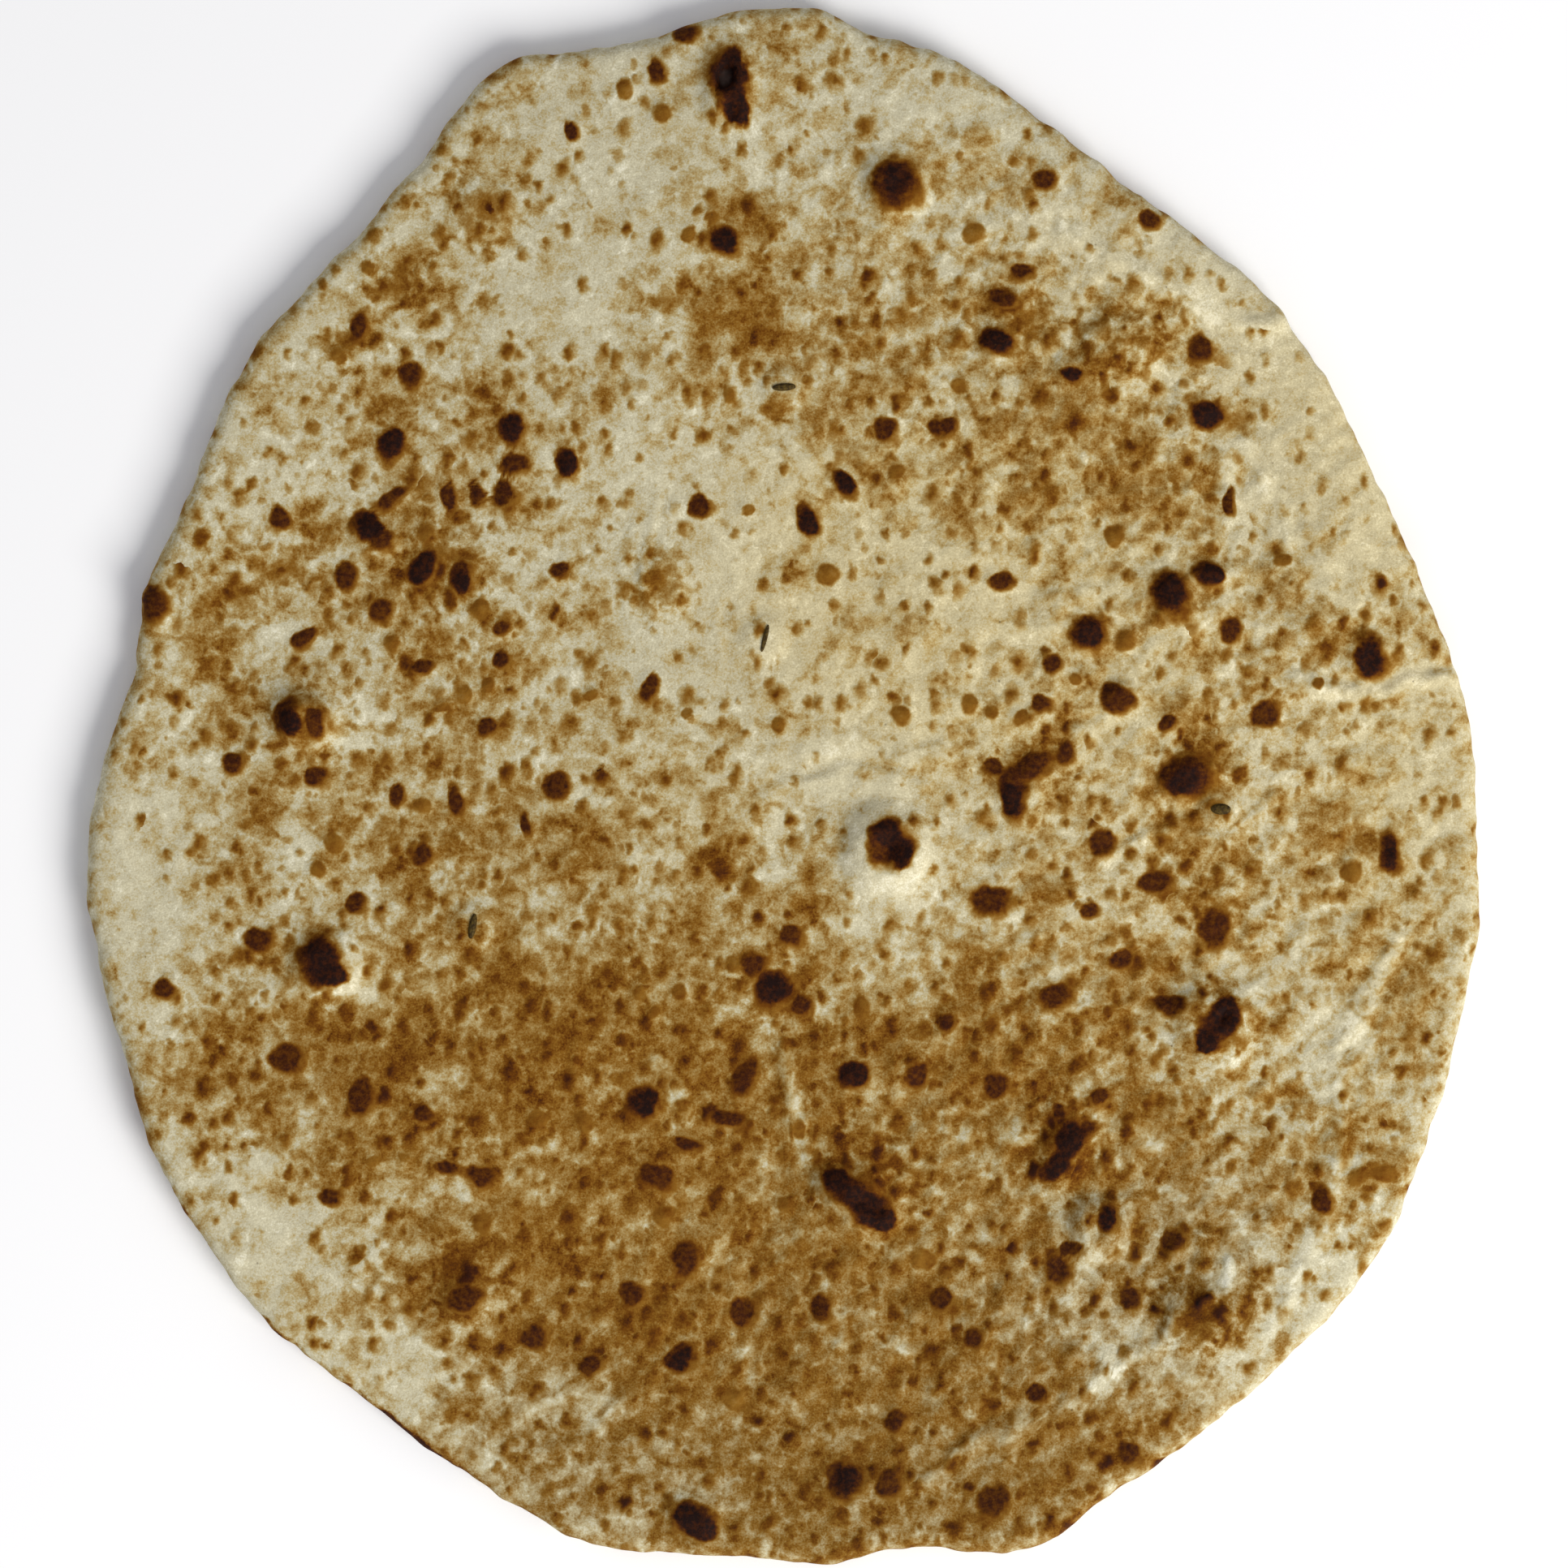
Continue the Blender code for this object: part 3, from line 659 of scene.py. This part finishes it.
def disc_grid(rings):
    """Lay a square grid out as a disc of rings, 8 more points to each ring.

    It holds the points' square coordinates, shares of the way out and angles, the
    quads, and the outer ring's points in order.
    """
    line = np.arange(-rings, rings + 1)
    a, b = (part.ravel() for part in np.meshgrid(line, line, indexing="ij"))
    wide_angle = 0.25 * math.pi * b / np.where(a == 0, 1, a) + math.pi * (a < 0)
    tall_angle = 0.5 * math.pi - 0.25 * math.pi * a / np.where(b == 0, 1, b)
    tall_angle = tall_angle + math.pi * (b < 0)
    side = 2 * rings + 1
    start = np.arange(side - 1)
    corner = (start[:, None] * side + start).ravel()
    up = line[:-1]
    edge = np.full_like(up, rings)
    loop_a = np.concatenate([edge, -up, -edge, up])
    loop_b = np.concatenate([up, edge, -up, -edge])
    return SimpleNamespace(
        square=np.stack([a, b], 1),
        share=np.maximum(np.abs(a), np.abs(b)) / rings,
        angle=np.where(np.abs(a) >= np.abs(b), wide_angle, tall_angle),
        quads=np.stack([corner, corner + side, corner + side + 1, corner + 1], 1),
        loop=(loop_a + rings) * side + loop_b + rings)


def crust_points(reach, top_level, under_level, top, low):
    """Return the crust's points in mm, and each point's fields."""

    def edge_at(angle):
        radius = reach_at(reach, angle)
        x, y = radius * np.cos(angle), radius * np.sin(angle)
        wobble = 0.60 * smooth_noise(x, y, 9.0, 50) + 0.28 * smooth_noise(x, y, 3.6, 51)
        return radius + wobble - 0.4

    def core_place(disc, inset):
        radius = (edge_at(disc.angle) - inset) * disc.share
        return radius * np.cos(disc.angle), radius * np.sin(disc.angle)

    x, y = core_place(top, EDGE_WIDTH)
    z = read_grid(top_level, x, y) + crust_relief(x, y)
    places = [np.stack([x, y, z], 1)]
    fields = [{**top_fields(x, y), "scorch": np.zeros_like(x)}]

    angle, high = top.angle[top.loop], z[top.loop]
    core_x, core_y = x[top.loop], y[top.loop]
    base = read_grid(under_level, core_x, core_y)
    rim = edge_at(angle)
    for step in range(1, EDGE_RINGS + 1):
        turn = math.pi * step / EDGE_RINGS
        bulge = math.sin(turn) ** 0.85
        rough = 0.18 * smooth_noise(core_x, core_y + 9.0 * turn, 3.5, 52)
        radius = rim - EDGE_WIDTH * (1.0 - bulge) + rough * math.sin(turn)
        x, y = radius * np.cos(angle), radius * np.sin(angle)
        z = base + (high - base) * (0.5 + 0.5 * math.cos(turn))
        places.append(np.stack([x, y, z], 1))
        scorch = scorch_field(angle) * smooth_step(turn / 0.9 - 0.15)
        fields.append({**top_fields(x, y), "scorch": scorch})

    x, y = core_place(low, EDGE_WIDTH + 1.4)
    z = read_grid(under_level, x, y) + under_relief(x, y)
    places.append(np.stack([x, y, z], 1))
    scorch = scorch_field(low.angle) * smooth_step((low.share - 0.93) / 0.07)
    fields.append({**under_fields(x, y), "scorch": scorch})

    joined = {name: np.concatenate([part[name] for part in fields]) for name in fields[0]}
    return np.concatenate(places), joined


def crust_faces(top, low):
    """Return the faces of the top and edge, of the underside, and of their join."""
    top_count, around = len(top.square), len(top.loop)
    low_start = top_count + EDGE_RINGS * around
    starts = range(top_count, low_start, around)
    rings = [top.loop] + [np.arange(start, start + around) for start in starts]
    upper = [top.quads]
    for inner, outer in zip(rings, rings[1:]):
        upper.append(np.stack([inner, outer, np.roll(outer, -1), np.roll(inner, -1)], 1))
    last = rings[-1]
    low_rim = low.loop + low_start
    low_next = np.roll(low_rim, -1)
    first, middle, third = last[0::2], last[1::2], np.roll(last, -2)[0::2]
    join = np.concatenate([
        np.stack([first, low_rim, middle], 1),
        np.stack([middle, low_rim, low_next], 1),
        np.stack([middle, low_next, third], 1),
    ])
    return np.concatenate(upper), low.quads[:, ::-1] + low_start, join


def square_map(square, reach, left, right):
    """Fit square coordinates into a strip of the map between left and right."""
    share = 0.5 + 0.5 * square / reach
    width = right - left - 2.0 * MAP_GAP
    height = 1.0 - 2.0 * MAP_GAP
    return np.stack([left + MAP_GAP + share[:, 0] * width, MAP_GAP + share[:, 1] * height], 1)


def crust_map(top, low):
    """Return each point's place on the map, as part of the top and of the underside."""
    rim = top.square[top.loop]
    upper = [top.square]
    for step in range(1, EDGE_RINGS + 1):
        upper.append(rim * (TOP_RINGS + step) / TOP_RINGS)
    top_map = square_map(
        np.concatenate([*upper, low.square * 0.0]), TOP_RINGS + EDGE_RINGS, 0.0, MAP_SHARE)
    spare = np.concatenate(upper[:-1]) * 0.0
    low_rim = rim * (UNDER_RINGS + 1) / TOP_RINGS
    low_map = square_map(
        np.concatenate([spare, low_rim, low.square]), UNDER_RINGS + 1, MAP_SHARE, 1.0)
    return top_map, low_map


def linked(name, data):
    """Put data into the scene as an object."""
    item = bpy.data.objects.new(name, data)
    bpy.context.scene.collection.objects.link(item)
    return item


def make_crust():
    """Build the crust's mesh with its fields and its map."""
    tree = node_tree("naan")
    reach = edge_reach(tree)
    top, low = disc_grid(TOP_RINGS), disc_grid(UNDER_RINGS)
    points, fields = crust_points(reach, *dough_levels(tree, reach), top, low)
    seat_seeds(points[:len(top.square)])
    upper, lower, join = crust_faces(top, low)
    mesh = bpy.data.meshes.new("naan_crust")
    faces = upper.tolist() + lower.tolist() + join.tolist()
    mesh.from_pydata((points * MM).tolist(), [], faces)
    mesh.shade_smooth()
    for name, values in fields.items():
        attribute = mesh.attributes.new(name, "FLOAT", "POINT")
        attribute.data.foreach_set("value", values.astype(np.float32))
    top_map, low_map = crust_map(top, low)
    corners = np.concatenate([
        top_map[upper.ravel()], low_map[lower.ravel()], low_map[join.ravel()]])
    layer = mesh.uv_layers.new(name="OFBake")
    layer.uv.foreach_set("vector", corners.astype(np.float32).ravel())
    return linked("naan_crust", mesh)


def seat_seeds(top):
    """Draw the top's points up round each seed, so that it sits half sunk in them."""
    for name in SEED_NODES:
        low, high = (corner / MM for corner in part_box(name))
        middle = 0.5 * (low + high)
        level = low.z + 0.45 * (high.z - low.z)
        reach = 0.5 * max(high.x - low.x, high.y - low.y) + 1.5
        distance = np.hypot(top[:, 0] - middle.x, top[:, 1] - middle.y) / reach
        pull = smooth_step(1.7 - 1.2 * distance)
        top[:, 2] += (level - top[:, 2]) * pull


# ---------------- materials


class Nodes:
    """Adds nodes to one material.  Each call returns the new node's output."""

    def __init__(self, name):
        self.material = bpy.data.materials.new(name)
        self.material.use_nodes = True
        self.tree = self.material.node_tree
        self.shader = self.tree.nodes["Principled BSDF"]
        coordinates = self.tree.nodes.new("ShaderNodeTexCoord")
        self.place = self.scaled(coordinates.outputs["Object"], 1.0 / MM)

    def plug(self, value, socket):
        if isinstance(value, bpy.types.NodeSocket):
            self.tree.links.new(value, socket)
        else:
            socket.default_value = value

    def node(self, kind, inputs, **settings):
        item = self.tree.nodes.new(kind)
        for name, value in settings.items():
            setattr(item, name, value)
        for key, value in inputs.items():
            self.plug(value, item.inputs[key])
        return item

    def scaled(self, vector, factor):
        return self.node(
            "ShaderNodeVectorMath", {"Vector": vector, "Scale": factor},
            operation="SCALE").outputs["Vector"]

    def vectors(self, operation, a, b, output="Vector"):
        item = self.node("ShaderNodeVectorMath", {0: a, 1: b}, operation=operation)
        return item.outputs[output]

    def math(self, operation, a, b=0.0):
        return self.node("ShaderNodeMath", {0: a, 1: b}, operation=operation).outputs[0]

    def add(self, a, b):
        return self.math("ADD", a, b)

    def times(self, a, b):
        return self.math("MULTIPLY", a, b)

    def total(self, start, *parts):
        """Add to start each part's value times its weight."""
        for value, weight in parts:
            start = self.add(start, self.times(value, weight))
        return start

    def rise(self, value, low, high, start=0.0, end=1.0):
        """Go smoothly from start to end as value goes from low to high."""
        return self.node("ShaderNodeMapRange", {
            "Value": value, "From Min": low, "From Max": high,
            "To Min": start, "To Max": end,
        }, interpolation_type="SMOOTHSTEP").outputs["Result"]

    def field(self, name):
        return self.node("ShaderNodeAttribute", {}, attribute_name=name).outputs["Fac"]

    def noise(self, feature, detail=2.0, roughness=0.5, distortion=0.0):
        """Noise centred on 0, with features about that many mm across."""
        texture = self.node("ShaderNodeTexNoise", {
            "Vector": self.place, "Scale": 1.0 / feature, "Detail": detail,
            "Roughness": roughness, "Distortion": distortion,
        })
        return self.math("SUBTRACT", texture.outputs["Fac"], 0.5)

    def warped(self, feature, amount):
        """The place, flattened and pushed about by noise."""
        texture = self.node("ShaderNodeTexNoise", {
            "Vector": self.place, "Scale": 1.0 / feature, "Detail": 2.0})
        push = self.vectors("SUBTRACT", texture.outputs["Color"], (0.5, 0.5, 0.5))
        flat = self.vectors("MULTIPLY", self.place, (1.12, 0.88, 0.35))
        return self.vectors("ADD", flat, self.scaled(push, amount))

    def dots(self, cell, density, place, smallest, largest):
        """Dots of their own darkness, painted darker to the upper left as shade, with highlight crescents
        on the lower right.
        """
        texture = self.node("ShaderNodeTexVoronoi", {
            "Vector": place, "Scale": 1.0 / cell, "Randomness": 1.0})
        chance = self.node("ShaderNodeSeparateColor", {0: texture.outputs["Color"]}).outputs
        radius = self.total(smallest, (chance["Red"], largest - smallest))
        depth = self.math("DIVIDE", texture.outputs["Distance"], radius)
        inside = self.rise(depth, 0.30, 1.15, 1.0, 0.0)
        present = self.math("SUBTRACT", density, chance["Green"])
        present = self.rise(present, -0.05, 0.05)
        draw = chance["Blue"]
        strength = self.total(0.42, (self.times(draw, draw), 0.75))
        off = self.vectors("SUBTRACT", place, texture.outputs["Position"])
        lean = self.vectors("DOT_PRODUCT", off, (-0.28, 0.28, 0.0), "Value")
        # Each dot is painted darker towards its upper left, as shade on the side away from the light.
        strength = self.times(strength, self.add(0.85, lean))
        # A painted highlight: a pale crescent just outside each dot's lower right edge.
        rim = self.times(self.rise(depth, 1.0, 1.3), self.rise(depth, 1.4, 2.0, 1.0, 0.0))
        highlight_crescent = self.times(rim, self.rise(lean, -0.05, -0.45))
        dark = self.times(self.times(inside, present), strength)
        return dark, self.times(highlight_crescent, present)

    def ramp(self, value, stops):
        """Read a colour from evenly blended stops."""
        item = self.node("ShaderNodeValToRGB", {"Fac": value})
        points = item.color_ramp.elements
        for (place, color), point in zip((stops[0], stops[-1]), points):
            point.position = place
            point.color = linear(color)
        for place, color in stops[1:-1]:
            points.new(place).color = linear(color)
        return item.outputs["Color"]

    def blend(self, factor, a, b):
        """Go from number a to number b."""
        inputs = {0: factor, 2: a, 3: b}
        return self.node("ShaderNodeMix", inputs, data_type="FLOAT").outputs[0]

    def darken(self, bake, amount):
        """Bake further by an amount, the less so the more it is baked already."""
        return self.add(bake, self.times(self.math("SUBTRACT", 1.0, bake), amount))

    def mix(self, factor, a, b, way="MIX"):
        """Go from colour a to colour b."""
        inputs = {0: factor, 6: a, 7: b}
        return self.node(
            "ShaderNodeMix", inputs, data_type="RGBA", blend_type=way).outputs[2]

    def tint(self, factor, color, tint):
        """Multiply a colour by a tint, as far as the factor goes."""
        return self.mix(factor, color, (*tint, 1.0), "MULTIPLY")

    def bump(self, height, strength, distance, normal=None):
        inputs = {"Height": height, "Strength": strength, "Distance": distance}
        if normal is not None:
            inputs["Normal"] = normal
        return self.node("ShaderNodeBump", inputs).outputs["Normal"]

    def finish(self, color, roughness, normal):
        self.plug(color, self.shader.inputs["Base Color"])
        self.plug(roughness, self.shader.inputs["Roughness"])
        self.plug(normal, self.shader.inputs["Normal"])
        return self.material


def crust_material():
    """Baked dough: pale, mottled with toast, speckled, spotted and charred."""
    n = Nodes("crust_baked")
    toast = n.field("toast")
    hilly = n.field("hilly")
    cloud = n.noise(8.0, detail=3.0)
    mottle = n.noise(2.8, detail=4.0, roughness=0.65)
    fine = n.noise(0.9, detail=3.0, roughness=0.65)
    strokes = n.noise(1.1, detail=4.0, roughness=0.75, distortion=1.8)
    felt = n.noise(0.35, detail=1.0)

    # The dough itself, with crests and veins painted paler, partly as paler dough and partly as painted
    # highlight on the ridges.
    bake = n.total(
        0.20, (cloud, 0.35), (mottle, 0.35), (fine, 0.25), (strokes, 0.28), (felt, 0.30))
    crack = n.math("ABSOLUTE", n.noise(7.0, distortion=0.6))
    vein = n.rise(crack, 0.0, 0.14, 0.6, 0.0)
    vein = n.times(n.times(vein, hilly), n.rise(cloud, -0.15, 0.10))
    # Pale crests and veins: partly paler dough, partly painted highlight.
    paleness = n.rise(n.total(n.field("pale"), (mottle, 0.8)), 0.10, 0.85)
    paleness = n.math("MAXIMUM", paleness, n.times(vein, 0.75))
    flour = n.total(n.field("flour"), (mottle, 1.4), (cloud, 0.6))
    flour = n.rise(flour, 0.20, 1.25, 0.0, 0.75)
    paleness = n.math("MAXIMUM", paleness, flour)
    bake = n.total(bake, (paleness, -0.19))

    # The wash of toast, in clouds that break into mottling.
    dotted = n.field("dotted")
    blotch = n.noise(3.0, distortion=0.5)
    bubble = n.rise(n.field("bubble"), 0.2, 0.8, -0.10, 0.20)
    wash = n.total(
        n.math("MINIMUM", toast, 1.04), (cloud, 0.8), (blotch, 1.7), (fine, 0.28),
        (paleness, -0.40), (bubble, 1.0), (dotted, -0.16))
    bake = n.total(bake, (n.rise(wash, -0.04, 1.16), 0.49))

    # Scattered dots, thicker where the crust is more toasted.
    shaky = n.warped(2.2, 2.2)
    thick = n.total(toast, (flour, -0.5), (dotted, 0.25))
    large, large_highlight = n.dots(6.0, n.total(0.10, (thick, 0.90)), shaky, 0.22, 0.44)
    middle, middle_highlight = n.dots(3.9, n.total(0.20, (thick, 0.90)), shaky, 0.26, 0.46)
    small = n.dots(2.3, n.total(0.03, (thick, 0.70)), shaky, 0.25, 0.50)[0]
    # The dots' crescents are painted highlight, paling the crust on their lower right.
    bake = n.total(bake, (large_highlight, -0.09), (middle_highlight, -0.06))
    # The dots darken the crust, the more so on their upper left, where shade is painted.
    for dots, amount in ((small, 0.38), (middle, 0.85), (large, 1.10)):
        bake = n.darken(bake, n.times(dots, amount))

    # Soft patches, then brown spots with darker cores, then char and the scorched edge.
    ragged = n.total(n.times(fine, 0.06), (n.noise(2.0, detail=1.0), 0.24))
    patch = n.total(n.field("patch"), (blotch, 1.2), (mottle, 0.8))
    bake = n.darken(bake, n.rise(patch, 0.30, 0.95, 0.0, 0.45))
    spot = n.rise(n.add(n.field("spot"), ragged), 0.32, 0.58, 0.0, 0.95)
    bake = n.blend(spot, bake, n.total(0.72, (mottle, 0.5)))
    # Darker cores, set to the upper left of their spots as painted shade.
    core = n.rise(n.add(n.field("core"), ragged), 0.44, 0.66, 0.0, 0.95)
    bake = n.blend(core, bake, n.total(0.91, (fine, 0.35)))
    char = n.rise(n.add(n.field("char"), ragged), 0.36, 0.62)
    bake = n.blend(char, bake, n.total(0.98, (fine, 0.30)))
    scorch = n.rise(n.total(n.field("scorch"), (mottle, 1.1), (cloud, 0.7)), 0.35, 0.85)
    bake = n.blend(scorch, bake, n.total(0.93, (fine, 0.3)))

    # Its colour, with yellower and greyer parts, grey in the deepest hole, and dark flecks on the pale
    # dough.
    color = n.ramp(bake, BAKE_COLORS)
    lean = n.field("warm")
    warm = n.times(n.rise(lean, 0.0, 1.0), n.rise(bake, 0.25, 0.85, 1.0, 0.0))
    color = n.tint(warm, color, WARM_TINT)
    grey = n.times(n.rise(lean, -1.0, 0.0, 1.0, 0.0), n.rise(bake, 0.20, 0.50))
    color = n.tint(grey, color, GREY_TINT)
    # Grey in the deepest hole.
    hole_grey = n.rise(n.total(n.field("hole_grey"), (fine, 0.2)), 0.55, 0.90, 0.0, 0.6)
    color = n.mix(hole_grey, color, linear(HOLE_GREY))
    flecks = n.dots(2.6, 0.16, n.place, 0.07, 0.12)[0]
    color = n.mix(n.times(flecks, 0.8), color, linear(FLECK))

    # Crinkles, grain and dots too fine for the mesh.
    crinkle = n.noise(4.2, detail=1.0, roughness=0.4)
    normal = n.bump(crinkle, n.rise(hilly, 0.0, 1.0, 0.3, 1.0), 0.0009)
    normal = n.bump(n.total(strokes, (felt, 0.5)), 0.22, 0.0007, normal)
    normal = n.bump(n.total(large, (middle, 0.6)), 0.6, 0.0004, normal)
    n.shader.inputs["Specular IOR Level"].default_value = 0.12
    return n.finish(color, n.rise(bake, 0.80, 1.0, 0.92, 0.80), normal)


def seed_material():
    """Dry, ribbed husk."""
    n = Nodes("seed_husk")
    n.shader.inputs["Specular IOR Level"].default_value = 0.15
    streak = n.noise(0.5)
    color = n.mix(n.rise(streak, -0.2, 0.2), linear(SEED_RIB), linear(SEED_HUSK))
    normal = n.bump(n.noise(0.25), 0.4, 0.0001)
    return n.finish(color, n.rise(streak, -0.2, 0.2, 0.75, 0.6), normal)


# ---------------- stage


def add_floor():
    """Lay a plain pale floor just under the bread."""
    mesh = bpy.data.meshes.new("floor")
    sides = ((-1, -1), (1, -1), (1, 1), (-1, 1))
    corners = [(FLOOR_HALF * x, FLOOR_HALF * y, 0.0) for x, y in sides]
    mesh.from_pydata(corners, [], [(0, 1, 2, 3)])
    floor = linked("floor", mesh)
    floor.location.z = -FLOOR_GAP
    material = bpy.data.materials.new("floor")
    material.use_nodes = True
    shader = material.node_tree.nodes["Principled BSDF"]
    shader.inputs["Base Color"].default_value = linear(FLOOR)
    shader.inputs["Roughness"].default_value = 1.0
    shader.inputs["Specular IOR Level"].default_value = 0.0
    mesh.materials.append(material)


def add_studio():
    """Light the bread softly from the lower right, and fill the shade coolly."""
    data = bpy.data.lights.new("key", "AREA")
    data.shape = "SQUARE"
    data.size = 1.0
    data.energy = 41.0
    data.color = (1.0, 0.985, 0.955)
    key = linked("key", data)
    key.location = (1.1, -1.1, 1.1)
    key.rotation_euler = (-key.location).to_track_quat("-Z", "Y").to_euler()
    world = bpy.data.worlds.new("studio")
    world.use_nodes = True
    background = world.node_tree.nodes["Background"]
    background.inputs["Color"].default_value = (0.93, 0.94, 1.0, 1.0)
    background.inputs["Strength"].default_value = 0.44
    bpy.context.scene.world = world


def add_camera():
    """Look straight down on the bread, which fills the height of the picture."""
    data = bpy.data.cameras.new("camera")
    data.lens = 100.0
    data.sensor_width = 36.0
    data.clip_start = 0.01
    camera = linked("camera", data)
    low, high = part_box("naan")
    middle = 0.5 * (low + high)
    width = (high.y - low.y) * PICTURE_MARGIN
    camera.location = (middle.x, middle.y, 0.004 + width * data.lens / data.sensor_width)
    bpy.context.scene.camera = camera


# ---------------- the model

crust = make_crust()
crust.data.materials.append(crust_material())
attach(crust, "root")
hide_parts("naan")

husk = seed_material()
for seed_name in SEED_NODES:
    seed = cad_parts[seed_name]
    seed.data.materials.clear()
    seed.data.materials.append(husk)
    seed.data.shade_smooth()

add_floor()
add_studio()
add_camera()
bpy.context.scene.view_settings.view_transform = "Standard"
